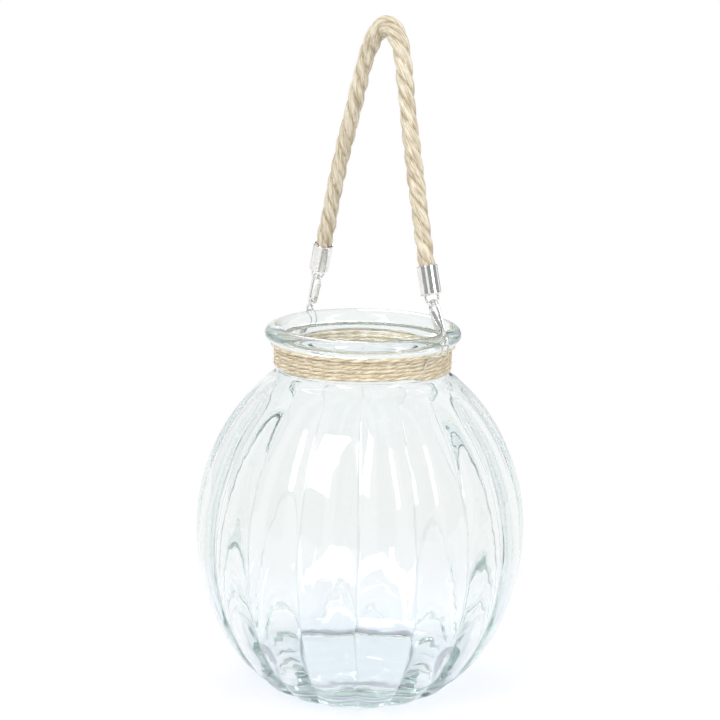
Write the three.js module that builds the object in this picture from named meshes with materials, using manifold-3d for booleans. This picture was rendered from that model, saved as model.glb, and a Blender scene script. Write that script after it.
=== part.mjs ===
// Hanging lantern: a melon-ribbed glass jar, jute twine wound round its neck, a neck
// wire with two ears, and a rope handle whose ends hang on two snap hooks.
//
// Millimetres, +Z up. The origin is the middle of the foot, on the surface the jar
// stands on. X runs from ear to ear, which is the line that the handle swings about.

import * as THREE from 'three';
import { mergeVertices } from 'three/addons/utils/BufferGeometryUtils.js';
import Module from 'manifold-3d';

const wasm = await Module();
wasm.setup();

// ---------------------------------------------------------------- driving dimensions

// jar
const jarHeight = 200;
const bellyRadius = 90.5;
const bellyHeight = 85;
const heelRadius = 51;
const footRadius = 45;
const heelHeight = 4;
const recessRadius = 37;
const recessDepth = 2;
const neckRadius = 46;
const bodyWall = 3.2;
const floorThickness = 9;
const floorRadius = 36;
const floorCornerRadius = 52;
const floorCornerHeight = 17;
const ribCount = 18;
const ribDepth = 2.8;
const innerRibShare = 0.25;
const ribTurn = -1.3;
const ribFadeLength = 26;
const shoulderFillet = 4;
const shoulderGap = 2;

// rim bead
const rimOverhang = 2;
const rimHalfWidth = 5;
const rimHalfHeight = 4.5;

// neck twine and neck wire
const twineDiameter = 1.8;
const twinePitch = 1.95;
const twineTurns = 5.25;
const neckWireDiameter = 1.2;
const clearance = 0.3;

// ears of the neck wire
const earOffset = 7.7;
const earStandoff = 3.8;
const earRise = 1.3;
const earLoopRadius = 2.1;
const earWireDiameter = 1.0;

// snap hooks
const hookLength = 24;
const rightHookLean = 26.5;
const leftHookLean = 17.5;
const hookWireDiameter = 2.0;
const hookCurlRadius = 2.7;
const eyeWireDiameter = 1.4;
const eyeHoleRadius = 1.8;
const noseDrop = 1.6;
const gatePinHeight = 8.4;
const gatePinInset = 1.9;
const gatePinDiameter = 0.8;
const gateThickness = 1.2;
const gateSheet = 0.45;
const gateTopGap = 0.4;
const tabThickness = 1.2;
const tabRim = 0.45;
const pinHeadDepth = 0.4;
const pinHeadOverhang = 0.5;

// ferrules and their bails
const ferruleDiameter = 11;
const ferruleLength = 15.5;
const ferruleWall = 0.6;
const ferruleFloor = 1;
const ferruleLean = 15.2;
const bailWireDiameter = 1.4;
const bailWidth = 8.6;
const bailGap = 3.2;
const bailTurn = -15;
const bailPlay = 0.4;
const bailHeadDiameter = 2.3;
const bailHeadLength = 0.8;

// space between the rope and the wall of its ferrule
const ropeFit = 0.4;

// ---------------------------------------------------------------- derived dimensions

const rad = THREE.MathUtils.degToRad;
const rimRadius = neckRadius + rimOverhang;
const rimHeight = jarHeight - rimHalfHeight;
const mouthRadius = rimRadius - rimHalfWidth;
const rimOuterRadius = rimRadius + rimHalfWidth;
const neckWireRadius = neckWireDiameter / 2;
const neckWireHeight = jarHeight - 2 * rimHalfHeight - clearance - neckWireRadius;
const ringRadius = neckRadius + clearance + neckWireDiameter;
const twineTop = neckWireHeight - neckWireRadius - clearance;
const twineHeight = twineTurns * twinePitch + twineDiameter;
const twineBottom = twineTop - twineHeight;
const twineOuterRadius = neckRadius + clearance + twineDiameter;
const shoulderHeight = twineBottom - shoulderGap;
const earRadius = rimOuterRadius + earStandoff;
const earX = Math.sqrt(earRadius * earRadius - earOffset * earOffset);
const hingeHeight = rimHeight + earRise;
const hookRadius = hookWireDiameter / 2;
const eyeRingRadius = eyeHoleRadius + eyeWireDiameter / 2;
const bailDrop = hookRadius + bailPlay + bailWireDiameter / 2;
const ropeDiameter = ferruleDiameter - 2 * ferruleWall - 2 * ropeFit;

// ---------------------------------------------------------------- helpers

function solidOf(geometry) {
  const bare = geometry.clone();
  bare.deleteAttribute('normal');
  bare.deleteAttribute('uv');
  const merged = mergeVertices(bare, 1e-4);
  return new wasm.Manifold(new wasm.Mesh({
    numProp: 3,
    vertProperties: new Float32Array(merged.attributes.position.array),
    triVerts: new Uint32Array(merged.index.array),
  }));
}

function geometryOf(solid) {
  const mesh = solid.getMesh();
  const geometry = new THREE.BufferGeometry();
  geometry.setAttribute('position', new THREE.BufferAttribute(new Float32Array(mesh.vertProperties), 3));
  geometry.setIndex(new THREE.BufferAttribute(new Uint32Array(mesh.triVerts), 1));
  geometry.computeVertexNormals();
  return geometry;
}

function join(...geometries) {
  let solid = solidOf(geometries[0]);
  for (const geometry of geometries.slice(1)) {
    solid = solid.add(solidOf(geometry));
  }
  return geometryOf(solid);
}

function cut(geometry, ...tools) {
  let solid = solidOf(geometry);
  for (const tool of tools) {
    solid = solid.subtract(solidOf(tool));
  }
  return geometryOf(solid);
}

// A round bar along a smooth curve through the given points.
function bar(points, diameter, steps, sides = 8) {
  const section = new THREE.Shape();
  for (let i = 0; i < sides; i++) {
    const angle = (2 * Math.PI * i) / sides;
    const x = (diameter / 2) * Math.cos(angle);
    const y = (diameter / 2) * Math.sin(angle);
    if (i === 0) section.moveTo(x, y);
    else section.lineTo(x, y);
  }
  section.closePath();
  const path = points instanceof THREE.Curve ? points : new THREE.CatmullRomCurve3(points, false, 'centripetal');
  return new THREE.ExtrudeGeometry(section, { steps, bevelEnabled: false, extrudePath: path });
}

// Cylinder along Z, standing on z = bottom.
function post(diameter, height, bottom, sides = 24) {
  const geometry = new THREE.CylinderGeometry(diameter / 2, diameter / 2, height, sides);
  geometry.rotateX(Math.PI / 2);
  geometry.translate(0, 0, bottom + height / 2);
  return geometry;
}

// Cylinder along Y, centred on (x, z).
function crossPin(diameter, length, x, z, sides = 16) {
  const geometry = new THREE.CylinderGeometry(diameter / 2, diameter / 2, length, sides);
  geometry.translate(x, 0, z);
  return geometry;
}

function metal(color, roughness) {
  return new THREE.MeshStandardMaterial({ color, roughness, metalness: 1 });
}

const glass = new THREE.MeshStandardMaterial({ color: 0xdfeaea, roughness: 0.04, metalness: 0 });
const jute = new THREE.MeshStandardMaterial({ color: 0xc9b58c, roughness: 0.9, metalness: 0 });
const rope = new THREE.MeshStandardMaterial({ color: 0xd3c29c, roughness: 0.9, metalness: 0 });
const nickel = metal(0xd8d8d6, 0.16);
const wireMetal = metal(0xc4c4c0, 0.25);

const lantern = new THREE.Group();

function addMesh(parent, name, geometry, material) {
  const mesh = new THREE.Mesh(geometry, material.clone());
  mesh.name = name;
  parent.add(mesh);
  return mesh;
}

// ---------------------------------------------------------------- glass jar

// Radius of an ellipse that is `equator` wide at the belly and `end` at `endHeight`.
function bowl(equator, end, endHeight, z) {
  const reach = (endHeight - bellyHeight) / Math.sqrt(1 - (end / equator) ** 2);
  return equator * Math.sqrt(1 - ((z - bellyHeight) / reach) ** 2);
}

function outerRadius(z) {
  if (z < bellyHeight) return bowl(bellyRadius, heelRadius, 0, z);
  return bowl(bellyRadius, neckRadius, shoulderHeight, z);
}

function innerRadius(z) {
  const equator = bellyRadius - bodyWall;
  if (z < bellyHeight) return bowl(equator, floorCornerRadius, floorThickness, z);
  return bowl(equator, mouthRadius, shoulderHeight, z);
}

// The ribs fade out below the shoulder.
function ribShare(z) {
  return 1 - THREE.MathUtils.smoothstep(z, shoulderHeight - ribFadeLength, shoulderHeight - shoulderGap);
}

// Heights from `low` to `high`, closer together towards both ends.
function easedHeights(low, high, count) {
  const heights = [];
  for (let i = 0; i <= count; i++) {
    const share = (1 - Math.cos((Math.PI * i) / count)) / 2;
    heights.push(low + (high - low) * share);
  }
  return heights;
}

function curvePoints(a, b, c, count) {
  const curve = new THREE.QuadraticBezierCurve(
    new THREE.Vector2(...a), new THREE.Vector2(...b), new THREE.Vector2(...c));
  return curve.getPoints(count);
}

// The section of the wall from the middle of the underside, up the outside, over the
// rim bead and down the inside to the middle of the floor. Each point carries how much
// of the rib depth it takes.
function jarSection() {
  const section = [];
  const put = (r, z, rib = 0) => section.push({ r, z, rib });

  put(0, recessDepth);
  put(recessRadius, recessDepth);
  put(recessRadius + 2, 0);
  const heel = curvePoints([footRadius, 0], [heelRadius, 0], [outerRadius(heelHeight), heelHeight], 3);
  heel.forEach((p, i) => put(p.x, p.y, i / 3));

  const filletStart = shoulderHeight - shoulderFillet;
  for (const z of easedHeights(heelHeight, filletStart, 14).slice(1)) {
    put(outerRadius(z), z, ribShare(z));
  }
  const fillet = curvePoints(
    [outerRadius(filletStart), filletStart], [neckRadius, shoulderHeight - 1],
    [neckRadius, shoulderHeight + 2], 3);
  fillet.slice(1).forEach((p) => put(p.x, p.y));

  const beadStart = -Math.PI + Math.acos(rimOverhang / rimHalfWidth);
  const beadSteps = 12;
  for (let i = 0; i <= beadSteps; i++) {
    const angle = beadStart + ((Math.PI - beadStart) * i) / beadSteps;
    put(rimRadius + rimHalfWidth * Math.cos(angle), rimHeight + rimHalfHeight * Math.sin(angle));
  }

  put(mouthRadius, shoulderHeight + 1);
  for (const z of easedHeights(floorCornerHeight, shoulderHeight - 1.5, 9).reverse()) {
    put(innerRadius(z), z, innerRibShare * ribShare(z));
  }
  const corner = curvePoints(
    [innerRadius(floorCornerHeight), floorCornerHeight], [floorCornerRadius, floorThickness],
    [floorRadius, floorThickness], 4);
  corner.slice(1).forEach((p, i) => put(p.x, p.y, innerRibShare * (1 - (i + 1) / 4)));
  put(0, floorThickness);
  return section;
}

// Grooves are sharp and the ribs between them round.
function ribDrop(angle) {
  return ribDepth * (1 - Math.abs(Math.sin((ribCount * angle) / 2)));
}

function jarGeometry() {
  const section = jarSection();
  const outline = section.map((p) => new THREE.Vector2(p.r, p.z));
  const samplesPerRib = 4;
  const geometry = new THREE.LatheGeometry(outline, ribCount * samplesPerRib);
  geometry.rotateX(Math.PI / 2);
  const position = geometry.attributes.position;
  for (let i = 0; i < position.count; i++) {
    const point = section[i % section.length];
    const angle = Math.atan2(position.getY(i), position.getX(i));
    const radius = point.r - point.rib * ribDrop(angle);
    position.setX(i, radius * Math.cos(angle));
    position.setY(i, radius * Math.sin(angle));
  }
  geometry.rotateZ(rad(ribTurn));
  return geometry;
}

addMesh(lantern, 'glass_jar', jarGeometry(), glass);

// ---------------------------------------------------------------- twine round the neck

// One length of twine, wound as a helix against the glass under the rim.
class TwineHelix extends THREE.Curve {
  getPoint(t, target = new THREE.Vector3()) {
    const angle = 2 * Math.PI * twineTurns * t;
    const radius = neckRadius + clearance + twineDiameter / 2;
    const z = twineBottom + twineDiameter / 2 + twinePitch * twineTurns * t;
    return target.set(radius * Math.cos(angle), radius * Math.sin(angle), z);
  }
}

addMesh(lantern, 'neck_twine', bar(new TwineHelix(), twineDiameter, Math.round(twineTurns * 40), 6), jute);

// ---------------------------------------------------------------- neck wire

// One ear: the wire leaves the ring, passes under the rim bead, rises to a small loop
// round the hinge point and goes back. The loop stands across the X axis.
function earPoints(side) {
  const under = neckWireHeight;
  const foot = (y, spread) => {
    const yy = y * spread + earOffset;
    return new THREE.Vector3(side * Math.sqrt(ringRadius ** 2 - yy ** 2), yy, under);
  };
  const out = (y, dx, z) => new THREE.Vector3(side * (earX + dx), earOffset + y, z);
  const points = [
    foot(-1, 9),
    foot(-1, 6),
    out(-3.4, -4.2, under),
    out(-2.6, -0.8, under + 0.9),
    out(-earLoopRadius, 0, under + 3.2),
  ];
  for (let i = 0; i <= 6; i++) {
    const angle = Math.PI - (Math.PI * i) / 6;
    points.push(out(earLoopRadius * Math.cos(angle), 0, hingeHeight + earLoopRadius * Math.sin(angle)));
  }
  points.push(
    out(earLoopRadius, 0, under + 3.2),
    out(2.6, -0.8, under + 0.9),
    out(3.4, -4.2, under),
    foot(1, 6),
    foot(1, 9),
  );
  return points;
}

function neckWireGeometry() {
  const ring = new THREE.TorusGeometry(ringRadius, neckWireRadius, 6, 72);
  ring.translate(0, 0, neckWireHeight);
  const ears = [1, -1].map((side) => bar(earPoints(side), earWireDiameter, 34, 6));

  // the cut end of the wire, bent down over the twine beside the right ear
  const onTwine = twineOuterRadius + clearance + earWireDiameter / 2;
  const tailRoute = [[-1, ringRadius, 0], [-3, onTwine, -0.4], [-5.5, onTwine, -3.2], [-8, onTwine, -7]];
  const tail = tailRoute.map(([turn, radius, drop]) => {
    const angle = Math.atan2(earOffset, earX) + rad(turn);
    return new THREE.Vector3(radius * Math.cos(angle), radius * Math.sin(angle), neckWireHeight + drop);
  });
  return join(ring, ...ears, bar(tail, earWireDiameter, 10, 6));
}

addMesh(lantern, 'neck_wire', neckWireGeometry(), wireMetal);

// ---------------------------------------------------------------- snap hooks

// In a hook's own frame the ear pulls at the origin, the bail hangs on the nose at
// z = hookLength, the spine is on the +X side and the gate on the -X side.
const curlHeight = hookLength - hookCurlRadius;
const noseTip = curlHeight - noseDrop;
const gatePinX = gatePinInset - hookCurlRadius;
const pinHole = gatePinDiameter + 2 * clearance;
const tabRadius = pinHole / 2 + tabRim;
const gateRootRadius = tabRadius + clearance + gateSheet;
const gateWidth = tabThickness + 2 * clearance + 2 * gateSheet;

function hookGeometry() {
  const eye = new THREE.TorusGeometry(eyeRingRadius, eyeWireDiameter / 2, 8, 20);
  eye.rotateX(Math.PI / 2);
  eye.translate(0, 0, eyeRingRadius);

  const eyeTop = 2 * eyeRingRadius;
  const spine = [
    new THREE.Vector3(hookCurlRadius / 3, 0, eyeTop - eyeWireDiameter / 7),
    new THREE.Vector3(0.8 * hookCurlRadius, 0, eyeTop + 3),
    new THREE.Vector3(hookCurlRadius, 0, curlHeight - 6),
  ];
  for (let i = 0; i <= 8; i++) {
    const angle = (Math.PI * i) / 8;
    spine.push(new THREE.Vector3(
      hookCurlRadius * Math.cos(angle), 0, curlHeight + hookCurlRadius * Math.sin(angle)));
  }
  spine.push(new THREE.Vector3(-hookCurlRadius, 0, noseTip));

  // the tab between the gate's cheeks, with the hole for its pin
  const tabReach = hookCurlRadius - gatePinX - hookRadius / 2;
  const tab = new THREE.BoxGeometry(tabReach, tabThickness, 2 * tabRadius);
  tab.translate(gatePinX + tabReach / 2, 0, gatePinHeight);
  const boss = crossPin(2 * tabRadius, tabThickness, gatePinX, gatePinHeight);
  const hole = crossPin(pinHole, 2 * gateWidth, gatePinX, gatePinHeight);
  return cut(join(eye, bar(spine, hookWireDiameter, 26), tab, boss), hole);
}

// A folded strip: a web outside, two cheeks astride the tab, and a flat end that
// closes under the tip of the nose.
function gateGeometry() {
  const topZ = noseTip - gateTopGap;
  const half = gateThickness / 2;
  const shoulder = rad(60);
  const outline = new THREE.Shape();
  outline.moveTo(-hookCurlRadius - half, topZ);
  outline.lineTo(-hookCurlRadius + half, topZ);
  outline.absarc(gatePinX, gatePinHeight, gateRootRadius, shoulder, -Math.PI, true);
  outline.closePath();
  const strip = new THREE.ExtrudeGeometry(outline, { depth: gateWidth, bevelEnabled: false, curveSegments: 12 });
  strip.rotateX(Math.PI / 2);
  strip.translate(0, gateWidth / 2, 0);
  const slotReach = 3 * gateRootRadius;
  const slot = new THREE.BoxGeometry(slotReach, tabThickness + 2 * clearance, slotReach);
  const web = gatePinX - tabRadius - clearance;
  slot.translate(web + slotReach / 2, 0, gatePinHeight + tabRadius + clearance - slotReach / 2);
  const hole = crossPin(pinHole, 2 * gateWidth, gatePinX, gatePinHeight);
  return cut(strip, slot, hole);
}

function gatePinGeometry() {
  const shank = crossPin(gatePinDiameter, gateWidth + 2 * clearance + pinHeadDepth, gatePinX, gatePinHeight);
  const heads = [-1, 1].map((end) => {
    const head = crossPin(gatePinDiameter + 2 * pinHeadOverhang, pinHeadDepth, gatePinX, gatePinHeight);
    head.translate(0, (end * (gateWidth + 2 * clearance + pinHeadDepth)) / 2, 0);
    return head;
  });
  return join(shank, ...heads);
}

// The handle stands a little to one side, so the hooks lean inwards by different angles.
const sides = [
  { name: 'right', sign: 1, turn: 0, lean: rad(rightHookLean) },
  { name: 'left', sign: -1, turn: Math.PI, lean: rad(leftHookLean) },
];

// The side group faces the hook outwards, and the inner group leans it inwards.
for (const { name, sign, turn, lean } of sides) {
  const side = new THREE.Group();
  side.rotation.z = turn;
  side.position.set(sign * earX, earOffset, hingeHeight);
  lantern.add(side);

  const hook = new THREE.Group();
  hook.rotation.y = -lean;
  side.add(hook);
  addMesh(hook, `${name}_snap_hook`, hookGeometry(), nickel);
  addMesh(hook, `${name}_hook_gate`, gateGeometry(), nickel);
  addMesh(hook, `${name}_gate_pin`, gatePinGeometry(), wireMetal);
}

// ---------------------------------------------------------------- ferrules and bails

// In a ferrule's own frame the hook's nose is at the origin and the rope leaves
// upwards along Z.
const legRadius = (bailWidth - bailWireDiameter) / 2;

function ferruleGeometry() {
  const top = bailGap + ferruleLength;
  const outer = ferruleDiameter / 2;
  const bore = outer - ferruleWall;
  const outline = [
    [0, bailGap], [outer - ferruleWall, bailGap], [outer, bailGap + ferruleWall],
    [outer, top - ferruleWall / 2], [outer - ferruleWall / 2, top], [bore, top],
    [bore, bailGap + ferruleFloor], [0, bailGap + ferruleFloor],
  ];
  const cup = new THREE.LatheGeometry(outline.map(([r, z]) => new THREE.Vector2(r, z)), 32);
  cup.rotateX(Math.PI / 2);
  const holes = [-1, 1].map((end) => {
    const hole = post(bailWireDiameter + 2 * clearance, 3 * ferruleFloor, bailGap - ferruleFloor, 12);
    hole.translate(0, end * legRadius, 0);
    return hole;
  });
  const turned = holes.map((hole) => hole.rotateZ(rad(bailTurn)));
  return cut(cup, ...turned);
}

// A U of wire whose legs pass through the ferrule's floor and end in heads inside.
function bailGeometry() {
  const centre = legRadius - bailDrop;
  const headTop = bailGap + ferruleFloor + clearance + bailHeadLength;
  const points = [new THREE.Vector3(0, -legRadius, headTop)];
  points.push(new THREE.Vector3(0, -legRadius, (headTop + centre) / 2));
  for (let i = 0; i <= 8; i++) {
    const angle = Math.PI + (Math.PI * i) / 8;
    points.push(new THREE.Vector3(0, legRadius * Math.cos(angle), centre + legRadius * Math.sin(angle)));
  }
  points.push(new THREE.Vector3(0, legRadius, (headTop + centre) / 2));
  points.push(new THREE.Vector3(0, legRadius, headTop));
  const heads = [-1, 1].map((end) => {
    const head = post(bailHeadDiameter, bailHeadLength, headTop - bailHeadLength, 12);
    head.translate(0, end * legRadius, 0);
    return head;
  });
  return join(bar(points, bailWireDiameter, 36), ...heads).rotateZ(rad(bailTurn));
}

for (const { name, sign, turn, lean } of sides) {
  const noseX = earX - hookLength * Math.sin(lean);
  const noseHeight = hingeHeight + hookLength * Math.cos(lean);
  const side = new THREE.Group();
  side.rotation.z = turn;
  side.position.set(sign * noseX, earOffset, noseHeight);
  lantern.add(side);

  const end = new THREE.Group();
  end.rotation.y = -rad(ferruleLean);
  side.add(end);
  addMesh(end, `${name}_ferrule`, ferruleGeometry(), nickel);
  addMesh(end, `${name}_ferrule_bail`, bailGeometry(), nickel);
}

// ---------------------------------------------------------------- rope handle

// The middle line of the rope from ferrule to ferrule, as x and height in the plane of
// the handle. Its two end points stand inside the ferrules.
const ropeLine = [
  [-47.42, 225.72], [-46.2, 230.21], [-44.1, 237.93], [-42.3, 244], [-39.7, 252.5], [-36.3, 265.3],
  [-32.3, 278.8], [-28, 292.2], [-23.2, 305.4], [-18.6, 318.4], [-14.4, 331], [-11, 339.7],
  [-6.6, 348.1], [-1, 354.8], [5.2, 357.6], [11.2, 355.2], [16, 348.6], [18.7, 340.6],
  [20.4, 332], [22.4, 320.4], [24.7, 308.2], [27.3, 296.1], [29.9, 283.9], [32.6, 271.7],
  [35.3, 259.5], [37.2, 251.4], [39.1, 243.6], [40.61, 236.52], [42.71, 228.8], [43.93, 224.31],
];
const ropePoints = ropeLine.map(([x, z]) => new THREE.Vector3(x, earOffset, z));
addMesh(lantern, 'handle_rope', bar(ropePoints, ropeDiameter, 44, 12), rope);

export default lantern;
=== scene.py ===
"""The looks of the hanging lantern: ribbed glass, jute twine, steel wire, nickel and a jute rope handle.

Everything is in metres, in the frame of the CAD model, with +Z up.
"""

import math
import random

import bmesh
import bpy
from mathutils import Matrix, Vector


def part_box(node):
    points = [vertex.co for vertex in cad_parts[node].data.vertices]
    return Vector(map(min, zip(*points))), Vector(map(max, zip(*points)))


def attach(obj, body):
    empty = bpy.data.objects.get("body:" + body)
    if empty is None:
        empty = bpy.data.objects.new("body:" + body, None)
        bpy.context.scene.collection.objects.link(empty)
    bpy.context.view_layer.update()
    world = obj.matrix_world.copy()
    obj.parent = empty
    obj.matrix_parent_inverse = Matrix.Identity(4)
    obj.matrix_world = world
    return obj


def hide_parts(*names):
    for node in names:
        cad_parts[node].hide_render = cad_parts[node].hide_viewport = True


MM = 0.001
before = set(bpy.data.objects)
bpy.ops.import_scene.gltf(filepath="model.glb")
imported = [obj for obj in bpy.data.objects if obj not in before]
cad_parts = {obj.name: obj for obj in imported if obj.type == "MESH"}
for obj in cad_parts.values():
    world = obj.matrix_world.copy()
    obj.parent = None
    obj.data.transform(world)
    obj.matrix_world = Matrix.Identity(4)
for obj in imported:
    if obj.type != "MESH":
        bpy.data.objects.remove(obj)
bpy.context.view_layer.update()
scene = bpy.context.scene

# ------------------------------------------------------------------ sizes taken from the frame

jar_low, jar_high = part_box("glass_jar")
twine_low, twine_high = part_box("neck_twine")
JAR_HEIGHT = jar_high[2] - jar_low[2]

# ------------------------------------------------------------------ jar

BELLY_RADIUS = 90.5 * MM
BELLY_HEIGHT = 85 * MM
HEEL_RADIUS = 51 * MM
FOOT_RADIUS = 45 * MM
HEEL_HEIGHT = 4 * MM
RECESS_RADIUS = 37 * MM
RECESS_DEPTH = 2 * MM
NECK_RADIUS = 46 * MM
BODY_WALL = 3.2 * MM
FLOOR_THICKNESS = 9 * MM
FLOOR_RADIUS = 36 * MM
FLOOR_CORNER_RADIUS = 52 * MM
FLOOR_CORNER_HEIGHT = 17 * MM
RIB_COUNT = 18
RIB_DEPTH = 2.8 * MM
INNER_RIB_SHARE = 0.25
RIB_TURN = math.radians(-1.3)
RIB_FADE_LENGTH = 20 * MM
GROOVE_SOFTNESS = 0.05
SHOULDER_GAP = 2 * MM
SHOULDER_FILLET = 4 * MM
SHOULDER_HEIGHT = twine_low[2] - SHOULDER_GAP
RIM_OVERHANG = 2 * MM
RIM_HALF_WIDTH = 5 * MM
RIM_HALF_HEIGHT = 4.5 * MM
RIM_RADIUS = NECK_RADIUS + RIM_OVERHANG
RIM_HEIGHT = JAR_HEIGHT - RIM_HALF_HEIGHT
MOUTH_RADIUS = RIM_RADIUS - RIM_HALF_WIDTH
SAMPLES_PER_RIB = 36
RECESS_STEPS = 4
HEEL_STEPS = 10
WALL_STEPS = 60
FILLET_STEPS = 8
RIM_STEPS = 36
INSIDE_STEPS = 50
CORNER_STEPS = 12
MOUTH_BEND_ABOVE = 8 * MM
MOUTH_BEND_BELOW = 4 * MM
GROOVE_CROWDING = 0.8
GROOVE_LINE_WIDTH = 0.08
GROOVE_WANDER = 0.006

# The glass. The colour for the groove bottoms is painted shade laid on them, not a shape.
GLASS_IOR = 1.5
GLASS_TINT = (0.958, 0.974, 0.97)
GROOVE_PAINTED_SHADE = (0.7, 0.78, 0.78)
GLASS_SHADOW = (0.87, 0.89, 0.93)
GLASS_DEPTH_TINT = (0.35, 0.55, 0.52)
GLASS_DEPTH_DENSITY = 8.0
GLASS_WAVE_HEIGHT = 2 * MM

# ------------------------------------------------------------------ twine and rope

# How far fibres and yarns turn with each turn of the strands they run on.
FIBRE_TWIST = 0.45
YARN_TWIST = 0.62

# How much a cord bulges at random, in depths of a yarn, and how loose hairs lean and curl.
SWELL_SHARE = 0.6
FIBRE_LEAN = 1.2
FIBRE_CURL = 0.4

# Noise on a cord: shares of the fibre scale across and along the cord, and the noise's detail.
FIBRES = (1.0, 0.1, 4.0)
WISPS = (0.42, 0.05, 2.0)
CREASE_SHADE_PATCHES = (0.35, 0.2, 3.0)
SPECKS = (0.5, 0.35, 2.0)
WISP_TINT = (0.66, 0.61, 0.53)

TWINE_DIAMETER = 2.2 * MM
TWINE_PITCH = 2.1 * MM
TWINE_TURNS = 5.25
TWINE_TOP_TURNS = 0.97
TWINE_CLIMB_TURNS = 0.12
TWINE_LAY = 18 * MM
TWINE_COIL_RADIUS = NECK_RADIUS + 1.2 * MM
TWINE_TOP_RADIUS = NECK_RADIUS + 3.0 * MM
TWINE_TOP_TUCK = 0.45
TWINE_POINTS = 3600
TWINE_FIBRES = 900

ROPE_DIAMETER = 9.2 * MM
ROPE_LAY = 31 * MM
ROPE_PLANE = 7.7 * MM
ROPE_SWELL = 0.2
ROPE_SWELL_REACH = 15 * MM
ROPE_STEP = 0.5 * MM
ROPE_FIBRES = 700

# The rope's middle line, as x and height in the plane of the handle.
ROPE_LINE = [
    (-47.42, 225.72), (-46.2, 230.21), (-44.1, 237.93), (-42.3, 244), (-39.7, 252.5), (-36.3, 265.3),
    (-32.3, 278.8), (-28, 292.2), (-23.2, 305.4), (-18.6, 318.4), (-14.4, 331), (-11, 339.7),
    (-6.6, 348.1), (-1, 354.8), (5.2, 357.6), (11.2, 355.2), (16, 348.6), (18.7, 340.6),
    (20.4, 332), (22.4, 320.4), (24.7, 308.2), (27.3, 296.1), (29.9, 283.9), (32.6, 271.7),
    (35.3, 259.5), (37.2, 251.4), (39.1, 243.6), (40.61, 236.52), (42.71, 228.8), (43.93, 224.31),
]

# ------------------------------------------------------------------ metal pieces

# Voxel size and rounds of smoothing of each rounded copy.
METAL_FINISH = {
    "neck_wire": (0.16 * MM, 6),
    "snap_hook": (0.12 * MM, 8),
    "gate_pin": (0.07 * MM, 3),
    "hook_gate": (0.1 * MM, 3),
    "ferrule": (0.15 * MM, 5),
    "ferrule_bail": (0.1 * MM, 8),
}

# ------------------------------------------------------------------ camera

CAMERA_DISTANCE = 860 * MM
CAMERA_HEIGHT = 361 * MM
CAMERA_AZIMUTH = math.radians(49.3)
CAMERA_PITCH = math.radians(11.87)
CAMERA_ROLL = math.radians(1.006)
CAMERA_LENS = 81.15
CAMERA_SHIFT = -0.0038

# ------------------------------------------------------------------ studio

FLOOR_NEAR = 110 * MM
FLOOR_FAR = 300 * MM
FLOOR_HALF_SIZE = 3.0
FLOOR_COLOUR = (0.865, 0.85, 0.87)
PANEL_COUNT = 5
PANEL_TURN = 0.6
ROOM_DARK = (0.34, 0.36, 0.37)
ROOM_BRIGHT = (1.0, 1.0, 1.0)
FILL_LIGHT = 0.85
GLASS_BOUNCES = 32
LAMP_TARGET_HEIGHT = 0.15

# Name, azimuth, elevation, distance, size and power of each soft box.
LAMPS = (
    ("key", 20, 38, 1.5, (0.3, 0.9), 8),
    ("side", 95, 30, 1.6, (0.25, 0.9), 5),
    ("rear", 235, 40, 1.7, (0.3, 0.9), 5),
)


def make_camera():
    data = bpy.data.cameras.new("camera")
    data.lens = CAMERA_LENS
    data.sensor_width = 36
    data.shift_x = CAMERA_SHIFT
    data.clip_start = 0.01
    camera = bpy.data.objects.new("camera", data)
    turn = (
        Matrix.Rotation(CAMERA_AZIMUTH, 4, "Z")
        @ Matrix.Rotation(math.pi / 2 - CAMERA_PITCH, 4, "X")
        @ Matrix.Rotation(CAMERA_ROLL, 4, "Z")
    )
    place = Vector((
        CAMERA_DISTANCE * math.sin(CAMERA_AZIMUTH),
        -CAMERA_DISTANCE * math.cos(CAMERA_AZIMUTH),
        CAMERA_HEIGHT,
    ))
    camera.matrix_world = Matrix.Translation(place) @ turn
    scene.collection.objects.link(camera)
    scene.camera = camera


# ------------------------------------------------------------------ mesh helpers


def new_piece(name, vertices, faces, material):
    mesh = bpy.data.meshes.new(name)
    mesh.from_pydata(vertices, [], faces)
    mesh.shade_smooth()
    mesh.materials.append(material)
    piece = bpy.data.objects.new(name, mesh)
    scene.collection.objects.link(piece)
    return piece


def add_attribute(piece, name, values):
    attribute = piece.data.attributes.new(name, "FLOAT", "POINT")
    attribute.data.foreach_set("value", values)


def add_cord_place(piece, places):
    """Gives each point its place on the straightened cord, in millimetres, with its length as Z."""
    attribute = piece.data.attributes.new("cord", "FLOAT_VECTOR", "POINT")
    attribute.data.foreach_set("vector", [value for place in places for value in place])


def smooth_line(points, step):
    """Points every step or so along a Catmull-Rom curve through the given ones."""
    padded = [2 * points[0] - points[1]] + points + [2 * points[-1] - points[-2]]
    line = []
    for a, b, c, d in zip(padded, padded[1:], padded[2:], padded[3:]):
        count = max(1, round((c - b).length / step))
        for i in range(count):
            t = i / count
            line.append(0.5 * (
                2 * b + (c - a) * t + (2 * a - 5 * b + 4 * c - d) * t ** 2
                + (3 * b - a - 3 * c + d) * t ** 3
            ))
    line.append(points[-1].copy())
    return line


def frames_along(line, side):
    """The tangent, side and up directions at each point, without any twist of their own."""
    frames = []
    for i, _ in enumerate(line):
        tangent = (line[min(i + 1, len(line) - 1)] - line[max(i - 1, 0)]).normalized()
        side = (side - tangent * side.dot(tangent)).normalized()
        frames.append((tangent, side, tangent.cross(side)))
    return frames


def strand_outline(angle, strands, core):
    """Outer edge of round strands laid side by side: 1 on a strand's crown, less between two."""
    half = math.pi / strands
    off = (angle + half) % (2 * half) - half
    reach = (1 - core) ** 2 - (core * math.sin(off)) ** 2
    return core * math.cos(off) + math.sqrt(max(reach, 0)), abs(off) / half


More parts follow.
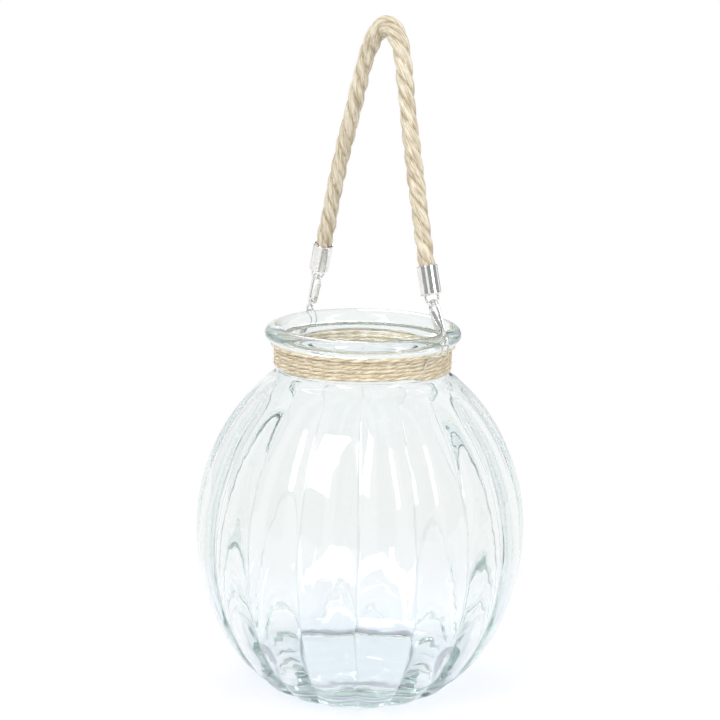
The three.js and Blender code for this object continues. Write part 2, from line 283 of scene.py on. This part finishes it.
def laid_cord(name, line, side, radius_at, strands, core, lay, yarns, yarn_depth, sides, material):
    """A twisted cord as one closed tube. Its strands wind left-handed, and uneven yarns run on each."""
    vertices, crease_shade, places = [], [], []
    length = 0.0
    frames = frames_along(line, side)
    for i, point in enumerate(line):
        if i:
            length += (point - line[i - 1]).length
        _, across, up = frames[i]
        twist = -2 * math.pi * length / lay
        radius = radius_at(length)
        for k in range(sides):
            angle = 2 * math.pi * k / sides
            turned = angle - twist
            outline, off = strand_outline(turned, strands, core)
            yarn = abs(math.sin(0.5 * yarns * (angle - YARN_TWIST * twist)))
            swell = math.sin(3 * turned + 1.3 * length / lay) * math.sin(2 * turned - 7.1 * length / lay)
            reach = radius * (outline - yarn_depth * (1 - yarn) + SWELL_SHARE * yarn_depth * swell)
            vertices.append(point + reach * (math.cos(angle) * across + math.sin(angle) * up))
            # Painted shade for the creases: none on a strand's crown, most between two strands.
            crease_shade.append(off ** 4)
            fibre = angle - FIBRE_TWIST * twist
            places.append((radius * math.cos(fibre) / MM, radius * math.sin(fibre) / MM, length / MM))
    faces = tube_faces(len(line), sides)
    piece = new_piece(name, vertices, faces, material)
    add_attribute(piece, "crease_shade", crease_shade)
    add_cord_place(piece, places)
    return piece


def tube_faces(rings, sides):
    faces = []
    for i in range(rings - 1):
        for k in range(sides):
            a = i * sides + k
            b = i * sides + (k + 1) % sides
            faces.append((a, b, b + sides, a + sides))
    faces.append(tuple(reversed(range(sides))))
    faces.append(tuple(range((rings - 1) * sides, rings * sides)))
    return faces


def loose_fibres(name, line, radius, count, reach, thickness, seed, material):
    """Short bent hairs that stand off a cord, each a three-sided sliver."""
    draw = random.Random(seed)
    vertices, faces = [], []
    for _ in range(count):
        i = draw.randrange(2, len(line) - 3)
        tangent = (line[i + 1] - line[i]).normalized()
        out = Vector([draw.gauss(0, 1) for _ in range(3)])
        out = (out - tangent * out.dot(tangent)).normalized()
        lean = tangent * draw.uniform(-FIBRE_LEAN, FIBRE_LEAN)
        curl = Vector([draw.gauss(0, FIBRE_CURL) for _ in range(3)])
        long = reach * draw.uniform(0.4, 1)
        start = line[i] + out * radius * 0.85
        spine = [start + long * (t * (out * 0.5 + lean) + t * t * curl) for t in (0, 0.33, 0.66, 1)]
        first = len(vertices)
        for step, place in enumerate(spine):
            size = thickness * (1 - 0.8 * step / 3)
            turn = tangent.cross(out)
            for angle in (0, 2 * math.pi / 3, 4 * math.pi / 3):
                vertices.append(place + size * (math.cos(angle) * turn + math.sin(angle) * tangent))
        for step in range(3):
            for k in range(3):
                a = first + 3 * step + k
                b = first + 3 * step + (k + 1) % 3
                faces.append((a, b, b + 3, a + 3))
        faces.append((first + 2, first + 1, first))
        faces.append((first + 9, first + 10, first + 11))
    return new_piece(name, vertices, faces, material)


def polished_copy(kind, node, material, body):
    """A rounded, even-meshed copy of a CAD node's own shape, which stands for that node."""
    voxel, rounds = METAL_FINISH[kind]
    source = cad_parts[node]
    piece = bpy.data.objects.new(node + "_fine", source.data.copy())
    scene.collection.objects.link(piece)
    merged = bmesh.new()
    merged.from_mesh(piece.data)
    bmesh.ops.remove_doubles(merged, verts=merged.verts, dist=0.001 * MM)
    merged.to_mesh(piece.data)
    merged.free()
    remesh = piece.modifiers.new("remesh", "REMESH")
    remesh.mode = "VOXEL"
    remesh.voxel_size = voxel
    smooth = piece.modifiers.new("smooth", "SMOOTH")
    smooth.factor = 0.5
    smooth.iterations = rounds
    graph = bpy.context.evaluated_depsgraph_get()
    mesh = bpy.data.meshes.new_from_object(piece.evaluated_get(graph), depsgraph=graph)
    piece.modifiers.clear()
    piece.data = mesh
    mesh.shade_smooth()
    mesh.materials.clear()
    mesh.materials.append(material)
    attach(piece, body)
    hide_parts(node)
    return piece


# ------------------------------------------------------------------ materials


def new_material(name):
    material = bpy.data.materials.new(name)
    material.use_nodes = True
    tree = material.node_tree
    return material, tree, tree.nodes["Principled BSDF"]


def add_node(tree, kind, **values):
    node = tree.nodes.new(kind)
    for key, value in values.items():
        if key in node.inputs:
            node.inputs[key].default_value = value
        else:
            setattr(node, key, value)
    return node


def ramp_of(tree, source, stops):
    """A colour ramp behind source, with (place, colour) stops."""
    ramp = tree.nodes.new("ShaderNodeValToRGB")
    elements = ramp.color_ramp.elements
    while len(elements) < len(stops):
        elements.new(0.5)
    for element, (place, colour) in zip(elements, stops):
        element.position = place
        element.color = (*colour, 1)
    tree.links.new(source, ramp.inputs["Fac"])
    return ramp.outputs["Color"]


def mix_colours(tree, kind, share, a, b):
    mix = tree.nodes.new("ShaderNodeMix")
    mix.data_type = "RGBA"
    mix.blend_type = kind
    if isinstance(share, float):
        mix.inputs["Factor"].default_value = share
    else:
        tree.links.new(share, mix.inputs["Factor"])
    colour_inputs = [s for s in mix.inputs if s.type == "RGBA"]
    for socket, value in zip(colour_inputs, (a, b)):
        if isinstance(value, tuple):
            socket.default_value = (*value, 1)
        else:
            tree.links.new(value, socket)
    return [s for s in mix.outputs if s.type == "RGBA"][0]


def add_bump(tree, shader, height, strength, distance):
    bump = add_node(tree, "ShaderNodeBump", Strength=strength, Distance=distance)
    tree.links.new(height, bump.inputs["Height"])
    tree.links.new(bump.outputs["Normal"], shader.inputs["Normal"])


def glass_material():
    """Clear glass with a faint waviness, green where it is thick, with painted shade in parts of the
    grooves.
    """
    material, tree, shader = new_material("clear_glass")
    shader.inputs["Roughness"].default_value = 0.0
    shader.inputs["IOR"].default_value = GLASS_IOR
    shader.inputs["Transmission Weight"].default_value = 1.0
    place = tree.nodes.new("ShaderNodeTexCoord")
    waves = add_node(tree, "ShaderNodeTexNoise", Scale=45.0, Detail=2.0, Roughness=0.45)
    tree.links.new(place.outputs["Object"], waves.inputs["Vector"])
    add_bump(tree, shader, waves.outputs["Fac"], 0.2, GLASS_WAVE_HEIGHT)
    # Painted shade on the bottoms of the grooves, in patches.
    groove_shade = add_node(tree, "ShaderNodeAttribute", attribute_name="groove_shade")
    groove_shade_patches = add_node(tree, "ShaderNodeTexNoise", Scale=70.0, Detail=2.0)
    tree.links.new(place.outputs["Object"], groove_shade_patches.inputs["Vector"])
    share = add_node(tree, "ShaderNodeMath", operation="MULTIPLY")
    tree.links.new(groove_shade.outputs["Fac"], share.inputs[0])
    tree.links.new(groove_shade_patches.outputs["Fac"], share.inputs[1])
    tint = ramp_of(tree, share.outputs[0], [(0.1, GLASS_TINT), (0.6, GROOVE_PAINTED_SHADE)])
    tree.links.new(tint, shader.inputs["Base Color"])
    path = tree.nodes.new("ShaderNodeLightPath")
    clear = add_node(tree, "ShaderNodeBsdfTransparent", Color=(*GLASS_SHADOW, 1))
    mix = tree.nodes.new("ShaderNodeMixShader")
    tree.links.new(path.outputs["Is Shadow Ray"], mix.inputs["Fac"])
    tree.links.new(shader.outputs["BSDF"], mix.inputs[1])
    tree.links.new(clear.outputs["BSDF"], mix.inputs[2])
    output = tree.nodes["Material Output"]
    tree.links.new(mix.outputs["Shader"], output.inputs["Surface"])
    depth = add_node(
        tree, "ShaderNodeVolumeAbsorption", Color=(*GLASS_DEPTH_TINT, 1), Density=GLASS_DEPTH_DENSITY)
    tree.links.new(depth.outputs["Volume"], output.inputs["Volume"])
    return material


def streaks_of(tree, fibre_scale, noise_shape):
    """Noise drawn out along a cord. fibre_scale says how many fibres a millimetre holds."""
    across, along, detail = noise_shape
    place = add_node(tree, "ShaderNodeAttribute", attribute_name="cord")
    stretch = tree.nodes.new("ShaderNodeMapping")
    stretch.inputs["Scale"].default_value = (
        across * fibre_scale, across * fibre_scale, along * fibre_scale)
    tree.links.new(place.outputs["Vector"], stretch.inputs["Vector"])
    noise = add_node(tree, "ShaderNodeTexNoise", Scale=1.0, Detail=detail, Roughness=0.65)
    tree.links.new(stretch.outputs["Vector"], noise.inputs["Vector"])
    return noise.outputs["Fac"]


def jute_material(name, light, middle, crease_shade_and_speck, fibre_scale):
    """Fibres along the cord, in lighter and darker wisps, with painted shade in the creases between
    strands, and dark specks.
    """
    material, tree, shader = new_material(name)
    shader.inputs["Roughness"].default_value = 0.85
    shader.inputs["Specular IOR Level"].default_value = 0.2
    shader.inputs["Sheen Weight"].default_value = 0.2
    shader.inputs["Sheen Roughness"].default_value = 0.5
    fibres = streaks_of(tree, fibre_scale, FIBRES)
    wisps = streaks_of(tree, fibre_scale, WISPS)
    streaks = ramp_of(tree, fibres, [(0.38, middle), (0.56, light)])
    wisp_tint = ramp_of(tree, wisps, [(0.4, WISP_TINT), (0.52, (1, 1, 1))])
    varied = mix_colours(tree, "MULTIPLY", 0.8, streaks, wisp_tint)
    # Painted shade in the creases between strands, shown in patches; the same dark colour makes the
    # specks.
    crease_shade = add_node(tree, "ShaderNodeAttribute", attribute_name="crease_shade")
    shade_patches = streaks_of(tree, fibre_scale, CREASE_SHADE_PATCHES)
    crease_shade_spread = tree.nodes.new("ShaderNodeMapRange")
    crease_shade_spread.inputs["From Min"].default_value = 0.38
    crease_shade_spread.inputs["From Max"].default_value = 0.6
    tree.links.new(shade_patches, crease_shade_spread.inputs["Value"])
    depth = add_node(tree, "ShaderNodeMath", operation="MULTIPLY")
    tree.links.new(crease_shade.outputs["Fac"], depth.inputs[0])
    tree.links.new(crease_shade_spread.outputs["Result"], depth.inputs[1])
    crease_shaded = mix_colours(tree, "MIX", depth.outputs[0], varied, crease_shade_and_speck)
    specks = streaks_of(tree, fibre_scale, SPECKS)
    speck_share = ramp_of(tree, specks, [(0.68, (0, 0, 0)), (0.76, (0.7, 0.7, 0.7))])
    shaded = mix_colours(tree, "MIX", speck_share, crease_shaded, crease_shade_and_speck)
    tree.links.new(shaded, shader.inputs["Base Color"])
    relief = add_node(tree, "ShaderNodeMath", operation="ADD")
    tree.links.new(fibres, relief.inputs[0])
    tree.links.new(wisps, relief.inputs[1])
    add_bump(tree, shader, relief.outputs[0], 0.9, 0.5 * MM)
    return material


def metal_material(name, colour, low, high, scale):
    """Plated metal: an even colour whose polish varies, with fine dents."""
    material, tree, shader = new_material(name)
    shader.inputs["Metallic"].default_value = 1.0
    place = tree.nodes.new("ShaderNodeTexCoord")
    cloud = add_node(tree, "ShaderNodeTexNoise", Scale=scale, Detail=4.0, Roughness=0.6)
    tree.links.new(place.outputs["Object"], cloud.inputs["Vector"])
    worn = tuple(0.86 * c for c in colour)
    tint = ramp_of(tree, cloud.outputs["Fac"], [(0.3, worn), (0.6, colour)])
    tree.links.new(tint, shader.inputs["Base Color"])
    polish = tree.nodes.new("ShaderNodeMapRange")
    polish.inputs["To Min"].default_value = low
    polish.inputs["To Max"].default_value = high
    tree.links.new(cloud.outputs["Fac"], polish.inputs["Value"])
    tree.links.new(polish.outputs["Result"], shader.inputs["Roughness"])
    fine = add_node(tree, "ShaderNodeTexNoise", Scale=4 * scale, Detail=2.0)
    tree.links.new(place.outputs["Object"], fine.inputs["Vector"])
    add_bump(tree, shader, fine.outputs["Fac"], 0.08, 0.2 * MM)
    return material


# ------------------------------------------------------------------ glass jar


def bowl(equator, end, end_height, z):
    reach = (end_height - BELLY_HEIGHT) / math.sqrt(1 - (end / equator) ** 2)
    return equator * math.sqrt(1 - ((z - BELLY_HEIGHT) / reach) ** 2)


def outer_radius(z):
    if z < BELLY_HEIGHT:
        return bowl(BELLY_RADIUS, HEEL_RADIUS, 0, z)
    return bowl(BELLY_RADIUS, NECK_RADIUS, SHOULDER_HEIGHT, z)


def inner_radius(z):
    equator = BELLY_RADIUS - BODY_WALL
    if z < BELLY_HEIGHT:
        return bowl(equator, FLOOR_CORNER_RADIUS, FLOOR_THICKNESS, z)
    return bowl(equator, MOUTH_RADIUS, SHOULDER_HEIGHT, z)


def rib_share(z):
    """How much of the rib depth is left at a height: the ribs fade out below the shoulder."""
    t = (z - (SHOULDER_HEIGHT - RIB_FADE_LENGTH)) / (RIB_FADE_LENGTH - SHOULDER_GAP)
    t = min(max(t, 0), 1)
    return 1 - t * t * (3 - 2 * t)


def eased(low, high, count):
    return [low + (high - low) * (1 - math.cos(math.pi * i / count)) / 2 for i in range(count + 1)]


def bend(a, b, c, count):
    """Points of a quadratic curve from a to c that heads for b."""
    points = []
    for i in range(count + 1):
        t = i / count
        points.append(tuple(
            (1 - t) ** 2 * p + 2 * t * (1 - t) * q + t * t * r for p, q, r in zip(a, b, c)))
    return points


def jar_section():
    """The wall's section as (radius, height, share of the rib depth), from underside to floor."""
    section = [(0, RECESS_DEPTH, 0)]
    section += [(RECESS_RADIUS * s, RECESS_DEPTH, 0) for s in (0.5, 0.9)]
    recess = bend(
        (RECESS_RADIUS, RECESS_DEPTH), (RECESS_RADIUS + MM, 0), (RECESS_RADIUS + 2 * MM, 0), RECESS_STEPS)
    section += [(r, z, 0) for r, z in recess]
    heel = bend((FOOT_RADIUS, 0), (HEEL_RADIUS, 0), (outer_radius(HEEL_HEIGHT), HEEL_HEIGHT), HEEL_STEPS)
    section += [(r, z, i / HEEL_STEPS) for i, (r, z) in enumerate(heel)]
    fillet_start = SHOULDER_HEIGHT - SHOULDER_FILLET
    wall = eased(HEEL_HEIGHT, fillet_start, WALL_STEPS)[1:]
    section += [(outer_radius(z), z, rib_share(z)) for z in wall]
    fillet = bend(
        (outer_radius(fillet_start), fillet_start), (NECK_RADIUS, SHOULDER_HEIGHT - MM),
        (NECK_RADIUS, SHOULDER_HEIGHT + 2 * MM), FILLET_STEPS)
    section += [(r, z, 0) for r, z in fillet[1:]]
    start = -math.pi + math.acos(RIM_OVERHANG / RIM_HALF_WIDTH)
    for i in range(RIM_STEPS + 1):
        angle = start + (math.pi - start) * i / RIM_STEPS
        section.append((
            RIM_RADIUS + RIM_HALF_WIDTH * math.cos(angle),
            RIM_HEIGHT + RIM_HALF_HEIGHT * math.sin(angle), 0))
    mouth_end = SHOULDER_HEIGHT - MOUTH_BEND_BELOW
    mouth = bend(
        (MOUTH_RADIUS, SHOULDER_HEIGHT + MOUTH_BEND_ABOVE), (MOUTH_RADIUS, SHOULDER_HEIGHT + MM),
        (inner_radius(mouth_end), mouth_end), FILLET_STEPS)
    section += [(r, z, 0) for r, z in mouth]
    inside = eased(FLOOR_CORNER_HEIGHT, mouth_end, INSIDE_STEPS)[::-1][1:]
    section += [(inner_radius(z), z, INNER_RIB_SHARE * rib_share(z)) for z in inside]
    corner = bend(
        (inner_radius(FLOOR_CORNER_HEIGHT), FLOOR_CORNER_HEIGHT), (FLOOR_CORNER_RADIUS, FLOOR_THICKNESS),
        (FLOOR_RADIUS, FLOOR_THICKNESS), CORNER_STEPS)
    for i, (r, z) in enumerate(corner[1:]):
        section.append((r, z, INNER_RIB_SHARE * (1 - (i + 1) / CORNER_STEPS)))
    section += [(FLOOR_RADIUS / 2, FLOOR_THICKNESS, 0), (0, FLOOR_THICKNESS, 0)]
    return section


def rib_drop(angle):
    """Depth of the groove at an angle: narrow soft grooves with round ribs between them."""
    crown = math.hypot(1, GROOVE_SOFTNESS)
    here = math.hypot(math.sin(RIB_COUNT * angle / 2), GROOVE_SOFTNESS)
    return RIB_DEPTH * (crown - here) / (crown - GROOVE_SOFTNESS)


def jar_angle(i):
    """Angle of the i-th upright row of points. Rows crowd together at the grooves."""
    share = i / SAMPLES_PER_RIB
    share -= GROOVE_CROWDING * math.sin(2 * math.pi * share) / (2 * math.pi)
    return 2 * math.pi * share / RIB_COUNT


def wander(angle, z):
    """How far a hand-blown rib strays from upright at a height, as an angle."""
    rib = round(RIB_COUNT * angle / (2 * math.pi)) % RIB_COUNT
    slow = math.sin(z / (14 * MM) + 2.4 * rib)
    quick = math.sin(z / (5.5 * MM) + 1.7 * rib)
    return GROOVE_WANDER * (slow + 0.5 * quick)


def make_jar(material):
    section = jar_section()
    count = RIB_COUNT * SAMPLES_PER_RIB
    inner = section[1:-1]
    vertices = [Vector((0, 0, section[0][1]))]
    groove_shade = [0.0]
    for i in range(count):
        angle = jar_angle(i)
        drop = rib_drop(angle)
        line = math.exp(-(math.sin(RIB_COUNT * angle / 2) / GROOVE_LINE_WIDTH) ** 2)
        for r, z, share in inner:
            radius = r - share * drop
            turned = angle + RIB_TURN + share * line * wander(angle, z)
            vertices.append(Vector((radius * math.cos(turned), radius * math.sin(turned), z)))
            # Each point's share of the painted shade that lies along the groove bottoms.
            groove_shade.append(share * line)
    top = len(vertices)
    vertices.append(Vector((0, 0, section[-1][1])))
    groove_shade.append(0.0)
    faces = []
    rows = len(inner)
    for i in range(count):
        here = 1 + i * rows
        there = 1 + (i + 1) % count * rows
        faces.append((0, there, here))
        for k in range(rows - 1):
            faces.append((here + k, there + k, there + k + 1, here + k + 1))
        faces.append((here + rows - 1, there + rows - 1, top))
    jar = new_piece("glass_jar_fine", vertices, faces, material)
    add_attribute(jar, "groove_shade", groove_shade)
    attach(jar, "jar")
    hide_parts("glass_jar")


# ------------------------------------------------------------------ twine round the neck


def twine_point(turns, low, top):
    """The twine's middle line: a coil on the neck, and one more turn on top, over the neck wire."""
    angle = 2 * math.pi * turns
    wobble = 0.07 * MM * math.sin(7.3 * angle) + 0.05 * MM * math.sin(3.1 * angle + 1)
    climb = min(max((turns - TWINE_TURNS) / TWINE_CLIMB_TURNS, 0), 1)
    coil_z = low + TWINE_PITCH * min(turns, TWINE_TURNS)
    z = coil_z + climb * (top - coil_z) + wobble
    radius = TWINE_COIL_RADIUS + climb * (TWINE_TOP_RADIUS - TWINE_COIL_RADIUS) + 0.5 * wobble
    return Vector((radius * math.cos(angle), radius * math.sin(angle), z))


def make_twine(material):
    low = twine_low[2] + 0.5 * (twine_high[2] - twine_low[2] - TWINE_TURNS * TWINE_PITCH)
    top = JAR_HEIGHT - 2 * RIM_HALF_HEIGHT - TWINE_TOP_TUCK * TWINE_DIAMETER
    turns = TWINE_TURNS + TWINE_TOP_TURNS
    line = [twine_point(turns * i / TWINE_POINTS, low, top) for i in range(TWINE_POINTS + 1)]
    total = sum((b - a).length for a, b in zip(line, line[1:]))

    def radius_at(length):
        ends = min(length, total - length) / TWINE_DIAMETER
        thick = 1 + 0.06 * math.sin(length / (9 * MM)) + 0.04 * math.sin(length / (2.3 * MM))
        return 0.5 * TWINE_DIAMETER * thick * min(1, 0.5 + 0.5 * max(ends, 0))

    twine = laid_cord(
        "neck_twine_fine", line, Vector((0, 0, 1)), radius_at, strands=2, core=0.16, lay=TWINE_LAY,
        yarns=6, yarn_depth=0.06, sides=16, material=material)
    fibres = loose_fibres(
        "neck_twine_fibres", line, 0.5 * TWINE_DIAMETER, count=TWINE_FIBRES, reach=3.5 * MM,
        thickness=0.04 * MM, seed=5, material=material)
    for piece in (twine, fibres):
        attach(piece, "jar")
    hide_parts("neck_twine")


# ------------------------------------------------------------------ rope handle


def make_rope(material):
    route = [Vector((x * MM, ROPE_PLANE, z * MM)) for x, z in ROPE_LINE]
    line = smooth_line(route, ROPE_STEP)
    lengths = [0.0]
    for a, b in zip(line, line[1:]):
        lengths.append(lengths[-1] + (b - a).length)
    crown = lengths[max(range(len(line)), key=lambda i: line[i].z)]

    def radius_at(length):
        swell = ROPE_SWELL * math.exp(-((length - crown) / ROPE_SWELL_REACH) ** 2)
        uneven = 0.02 * math.sin(length / (11 * MM)) + 0.015 * math.sin(length / (4.1 * MM) + 2)
        return 0.5 * ROPE_DIAMETER * (1 + swell + uneven)

    rope = laid_cord(
        "handle_rope_fine", line, Vector((0, 1, 0)), radius_at, strands=3, core=0.3, lay=ROPE_LAY,
        yarns=21, yarn_depth=0.05, sides=96, material=material)
    fibres = loose_fibres(
        "handle_rope_fibres", line, 0.5 * ROPE_DIAMETER, count=ROPE_FIBRES, reach=4 * MM,
        thickness=0.045 * MM, seed=11, material=material)
    for piece in (rope, fibres):
        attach(piece, "handle")
    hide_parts("handle_rope")


# ------------------------------------------------------------------ metal


def make_metal(nickel, wire):
    polished_copy("neck_wire", "neck_wire", wire, "jar")
    for side in ("right", "left"):
        for kind, material, body, slot in (
            ("snap_hook", nickel, f"{side}_hook", "bright_nickel"),
            ("gate_pin", wire, f"{side}_hook", "steel_wire"),
            ("hook_gate", nickel, f"{side}_gate", "bright_nickel"),
            ("ferrule", nickel, "handle", "bright_nickel"),
            ("ferrule_bail", nickel, "handle", "bright_nickel"),
        ):
            polished_copy(kind, f"{side}_{kind}", material, body)


# ------------------------------------------------------------------ floor, lights and surroundings


def make_floor():
    """A pale floor that passes into plain white away from the lantern, so that it has no edge."""
    material, tree, shader = new_material("floor")
    shader.inputs["Base Color"].default_value = (*FLOOR_COLOUR, 1)
    shader.inputs["Roughness"].default_value = 0.8
    shader.inputs["Specular IOR Level"].default_value = 0.0
    place = tree.nodes.new("ShaderNodeTexCoord")
    away = add_node(tree, "ShaderNodeVectorMath", operation="LENGTH")
    tree.links.new(place.outputs["Object"], away.inputs[0])
    share = tree.nodes.new("ShaderNodeMapRange")
    share.interpolation_type = "SMOOTHSTEP"
    share.inputs["From Min"].default_value = FLOOR_NEAR
    share.inputs["From Max"].default_value = FLOOR_FAR
    tree.links.new(away.outputs["Value"], share.inputs["Value"])
    white = add_node(tree, "ShaderNodeEmission", Color=(1, 1, 1, 1), Strength=1.0)
    mix = tree.nodes.new("ShaderNodeMixShader")
    tree.links.new(share.outputs["Result"], mix.inputs["Fac"])
    tree.links.new(shader.outputs["BSDF"], mix.inputs[1])
    tree.links.new(white.outputs["Emission"], mix.inputs[2])
    tree.links.new(mix.outputs["Shader"], tree.nodes["Material Output"].inputs["Surface"])
    signs = ((-1, -1), (1, -1), (1, 1), (-1, 1))
    corners = [Vector((x * FLOOR_HALF_SIZE, y * FLOOR_HALF_SIZE, 0)) for x, y in signs]
    floor = new_piece("floor", corners, [(0, 1, 2, 3)], material)


def add_lamp(name, azimuth, elevation, distance, size, power):
    """A soft box, as wide and tall as size says, that points at the middle of the lantern."""
    data = bpy.data.lights.new(name, "AREA")
    data.shape = "RECTANGLE"
    data.size = size[0]
    data.size_y = size[1]
    data.energy = power
    lamp = bpy.data.objects.new(name, data)
    turn = math.radians(azimuth)
    rise = math.radians(elevation)
    back = Vector((math.sin(turn) * math.cos(rise), -math.cos(turn) * math.cos(rise), math.sin(rise)))
    lamp.location = Vector((0, 0, LAMP_TARGET_HEIGHT)) + distance * back
    lamp.rotation_euler = back.to_track_quat("Z", "Y").to_euler()
    scene.collection.objects.link(lamp)


def make_surroundings():
    """White behind and through the glass. Reflections see a dim room with bright upright panels."""
    world = bpy.data.worlds.new("studio")
    world.use_nodes = True
    tree = world.node_tree
    place = tree.nodes.new("ShaderNodeTexCoord")
    split = tree.nodes.new("ShaderNodeSeparateXYZ")
    tree.links.new(place.outputs["Generated"], split.inputs["Vector"])
    azimuth = add_node(tree, "ShaderNodeMath", operation="ARCTAN2")
    tree.links.new(split.outputs["Y"], azimuth.inputs[0])
    tree.links.new(split.outputs["X"], azimuth.inputs[1])
    wave = add_node(tree, "ShaderNodeMath", operation="MULTIPLY_ADD")
    wave.inputs[1].default_value = PANEL_COUNT
    wave.inputs[2].default_value = PANEL_TURN
    tree.links.new(azimuth.outputs[0], wave.inputs[0])
    ripple = add_node(tree, "ShaderNodeMath", operation="SINE")
    tree.links.new(wave.outputs[0], ripple.inputs[0])
    bands = ramp_of(tree, ripple.outputs[0], [(0.0, ROOM_DARK), (0.2, ROOM_DARK), (0.6, ROOM_BRIGHT)])
    room = tree.nodes["Background"]
    tree.links.new(bands, room.inputs["Color"])
    room.inputs["Strength"].default_value = 1.0
    fill = add_node(tree, "ShaderNodeBackground", Color=(1, 1, 1, 1), Strength=FILL_LIGHT)
    white = add_node(tree, "ShaderNodeBackground", Color=(1, 1, 1, 1), Strength=1.0)
    path = tree.nodes.new("ShaderNodeLightPath")
    last = fill.outputs[0]
    seen = (("Is Glossy Ray", room), ("Is Transmission Ray", white), ("Is Camera Ray", white))
    for ray, shader in seen:
        mix = tree.nodes.new("ShaderNodeMixShader")
        tree.links.new(path.outputs[ray], mix.inputs["Fac"])
        tree.links.new(last, mix.inputs[1])
        tree.links.new(shader.outputs[0], mix.inputs[2])
        last = mix.outputs[0]
    tree.links.new(last, tree.nodes["World Output"].inputs["Surface"])
    scene.world = world
    scene.view_settings.view_transform = "Standard"
    scene.cycles.max_bounces = GLASS_BOUNCES
    scene.cycles.transmission_bounces = GLASS_BOUNCES
    scene.cycles.glossy_bounces = GLASS_BOUNCES


# ------------------------------------------------------------------ making

make_camera()
# The third colour of each jute is both the painted shade in the creases and the colour of its dark
# specks.
jute = jute_material("jute_rope", (0.84, 0.77, 0.63), (0.57, 0.49, 0.35), (0.33, 0.25, 0.14), 1.5)
make_rope(jute)
make_surroundings()
make_floor()
for lamp_row in LAMPS:
    add_lamp(*lamp_row)
make_jar(glass_material())
twine_jute = jute_material("jute_twine", (0.96, 0.87, 0.68), (0.66, 0.55, 0.37), (0.36, 0.27, 0.15), 2.4)
make_twine(twine_jute)
make_metal(
    metal_material("bright_nickel", (0.9, 0.89, 0.87), 0.06, 0.2, 300.0),
    metal_material("steel_wire", (0.72, 0.72, 0.7), 0.25, 0.42, 500.0),
)
